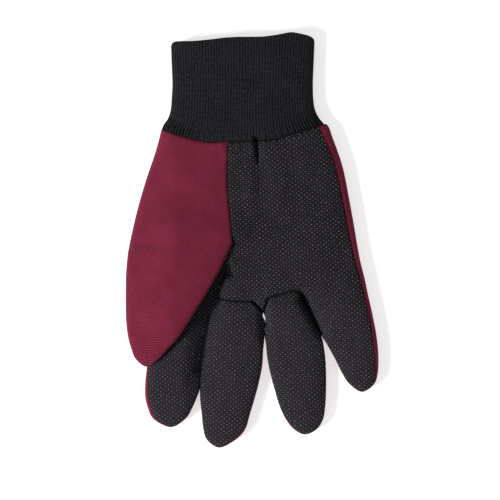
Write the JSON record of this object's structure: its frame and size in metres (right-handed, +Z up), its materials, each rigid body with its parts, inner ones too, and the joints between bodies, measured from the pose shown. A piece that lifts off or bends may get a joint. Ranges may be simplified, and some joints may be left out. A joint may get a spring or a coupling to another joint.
{
  "type": "knit-wrist utility glove",
  "caption": "Empty right-hand cloth work glove lying palm up: jersey back with a winged thumb folded over a dotted palm, dotted finger fronts and a ribbed knit wrist.",
  "frame": {"origin": "centre of the glove's plan box, on the surface the glove lies on", "axes": "+Z up from the back of the hand to the palm, +Y from the fingers towards the wrist, -X towards the thumb side"},
  "size_m": [0.154, 0.2529, 0.0214],
  "materials": {
    "burgundy_jersey": "matt fine-knit cotton jersey with diagonal courses",
    "dotted_jersey": "matt black cotton jersey covered with a lattice of small grey plastic dots",
    "rib_knit": "matt black rib knit with fine ribs along the arm"
  },
  "bodies": {
    "root": {"knit_wrist": "rib_knit", "back_with_wing_thumb": "burgundy_jersey", "dotted_palm": "dotted_jersey", "middle_finger_front": "dotted_jersey", "ring_finger_front": "dotted_jersey", "thumb_inner_face": "dotted_jersey"}
  },
  "joints": []
}
